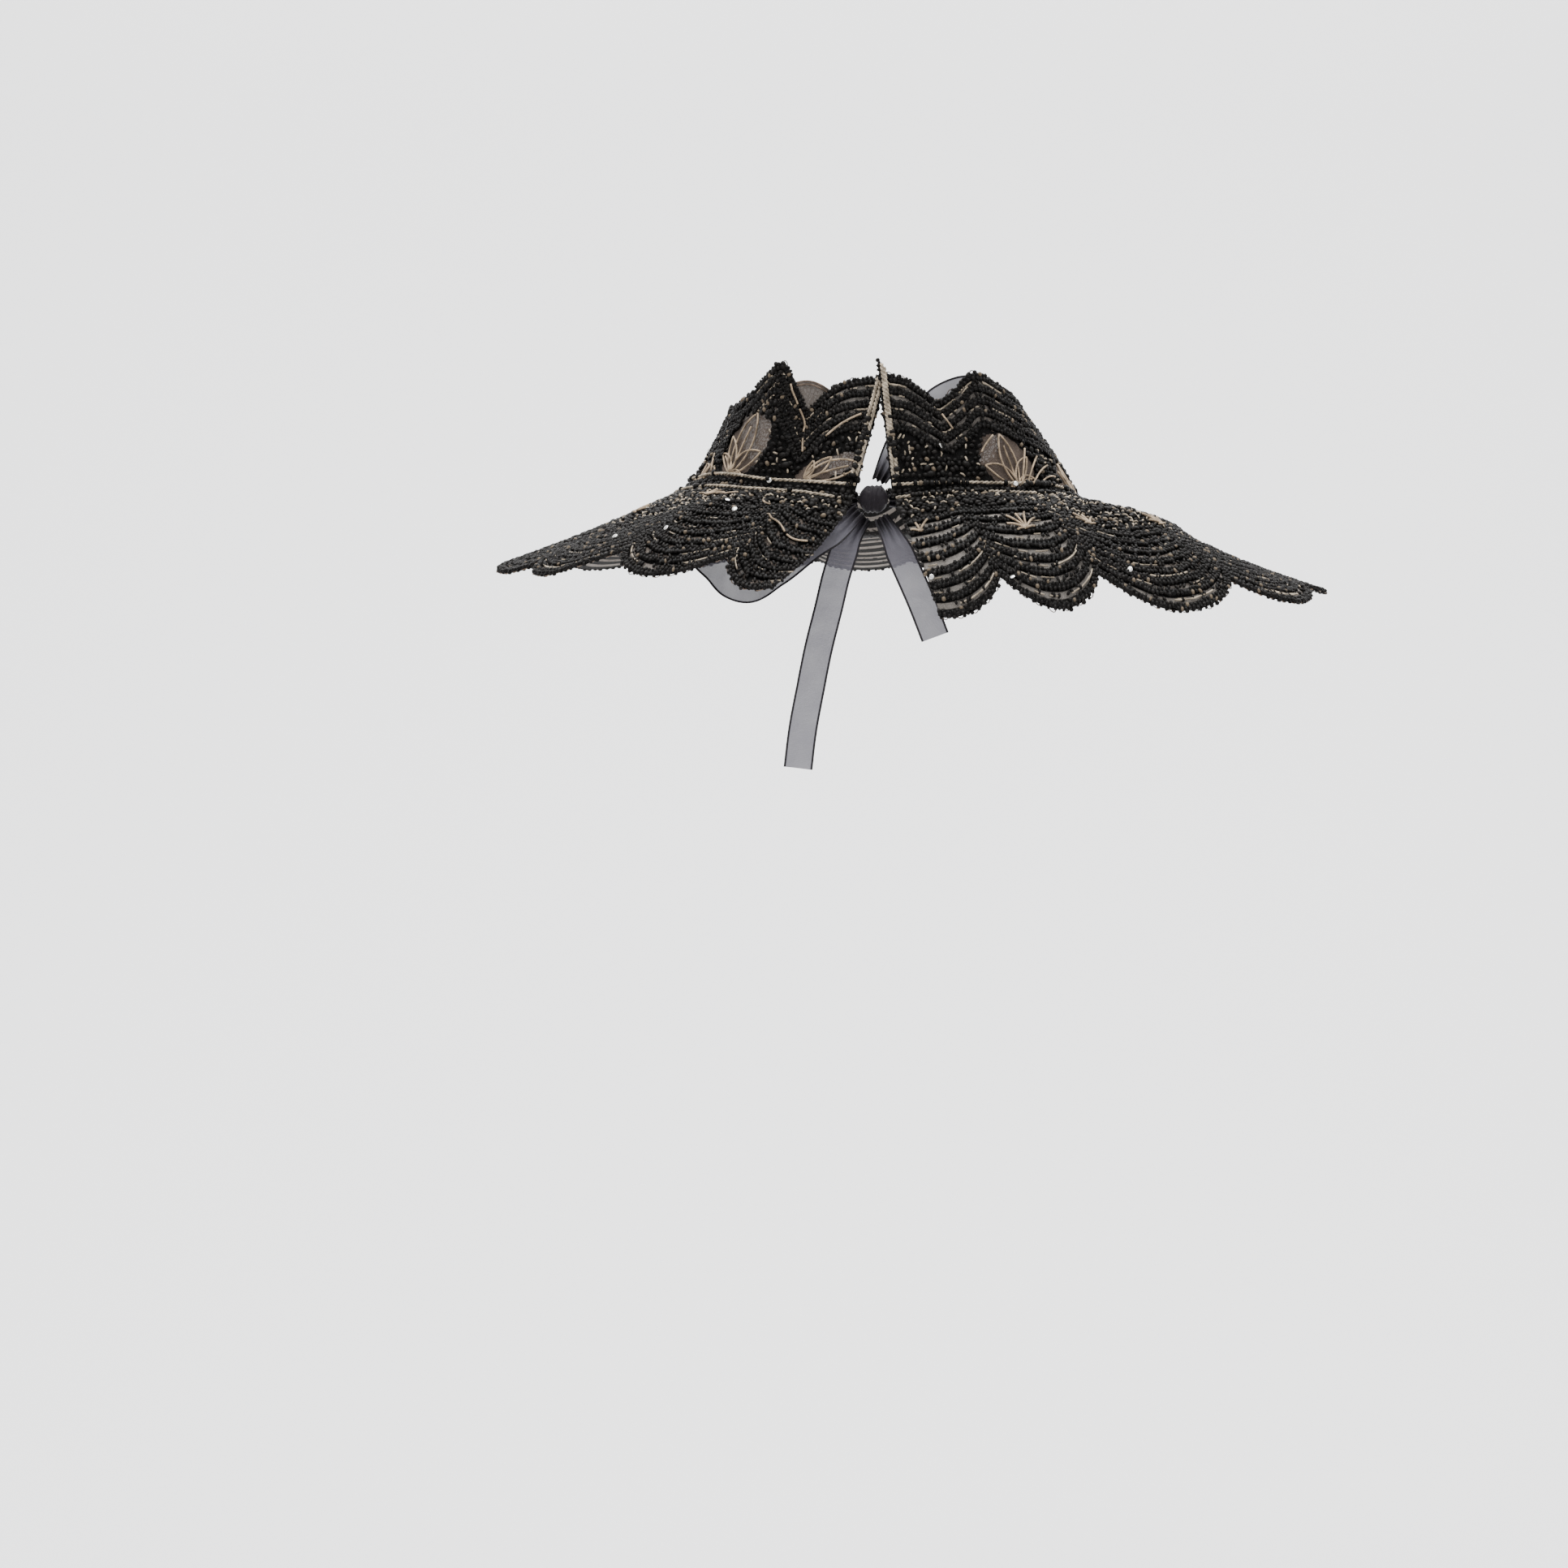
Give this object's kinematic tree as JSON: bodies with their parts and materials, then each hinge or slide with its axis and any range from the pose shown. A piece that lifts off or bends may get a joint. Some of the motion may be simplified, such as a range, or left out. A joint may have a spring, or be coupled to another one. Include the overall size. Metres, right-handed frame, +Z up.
{
  "type": "beaded lace collar",
  "caption": "Black beaded lace and net collar with an upstanding frilled edge, a scalloped flange over the shoulders, tan cord and a sheer ribbon bow at the nape.",
  "frame": {"origin": "centre of the neck opening, level with the fold line between stand and flange at the nape", "axes": "+Z up along the neck, -Y towards the wearer's back and the ribbon bow, +X to the wearer's right, which is the picture's right because it shows the collar from behind"},
  "size_m": [0.2951, 0.2211, 0.1419],
  "materials": {
    "stand_lace": "rows of small black glass beads on sheer tan net",
    "flange_lace": "rows of small black glass beads and tan corded leaves on sheer tan net",
    "tan_cord": "twisted tan cord with a soft sheen",
    "grey_organza": "sheer dark grey organza ribbon with darker woven edges"
  },
  "bodies": {
    "root": {"collar_stand": "stand_lace", "collar_flange": "flange_lace", "neckline_cord_upper": "tan_cord", "neckline_cord_lower": "tan_cord", "opening_binding_right": "tan_cord", "opening_binding_left": "tan_cord", "ribbon_knot": "grey_organza", "ribbon_loop_right": "grey_organza", "ribbon_loop_left": "grey_organza", "ribbon_tail_left": "grey_organza", "ribbon_tail_right": "grey_organza", "ribbon_tie_right": "grey_organza", "ribbon_tie_left": "grey_organza"}
  },
  "joints": []
}
